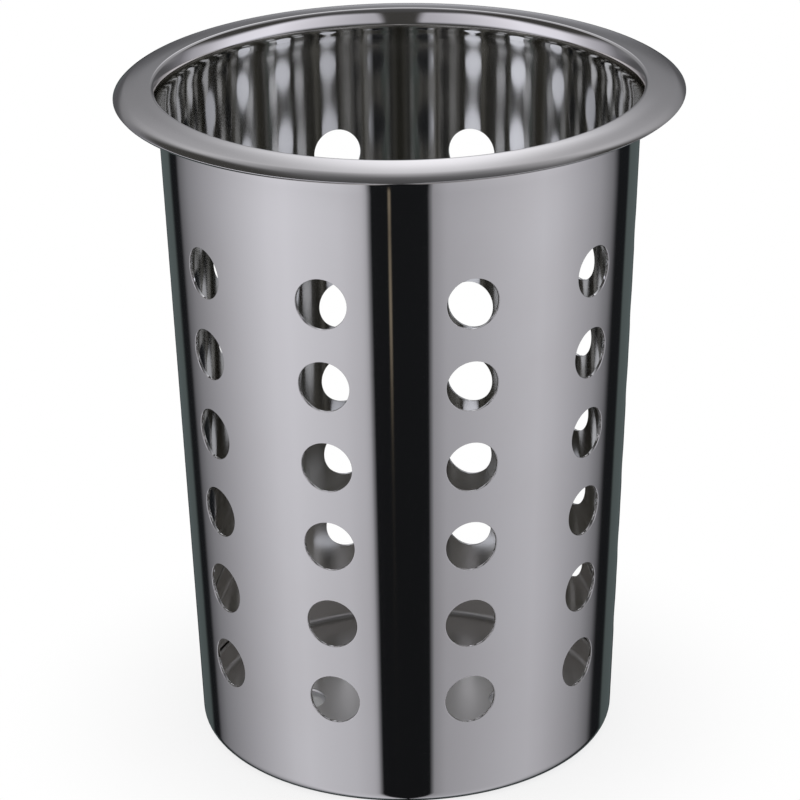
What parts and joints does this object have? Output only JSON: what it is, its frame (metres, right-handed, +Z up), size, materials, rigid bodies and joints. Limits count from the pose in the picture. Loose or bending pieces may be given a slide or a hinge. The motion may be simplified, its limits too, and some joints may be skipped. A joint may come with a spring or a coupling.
{
  "type": "cutlery holder",
  "caption": "Perforated stainless steel cutlery holder: a tapered round cup with a wide flanged rim, rows of round holes in its wall and a drained base.",
  "frame": {"origin": "centre of the foot, on the table", "axes": "+Z up along the cup's axis, out of the mouth; the front faces -Y, midway between two columns of holes"},
  "size_m": [0.12, 0.1198, 0.148],
  "materials": {
    "rim_steel": "stainless steel, polished with a soft satin bloom on the flange",
    "wall_steel": "stainless steel, mirror polished outside, a little duller inside, bright cut edges at the holes",
    "floor_steel": "stainless steel, as rolled, satin"
  },
  "bodies": {
    "root": {"rim_flange": "rim_steel", "perforated_wall": "wall_steel", "base_pan": "floor_steel"}
  },
  "joints": []
}
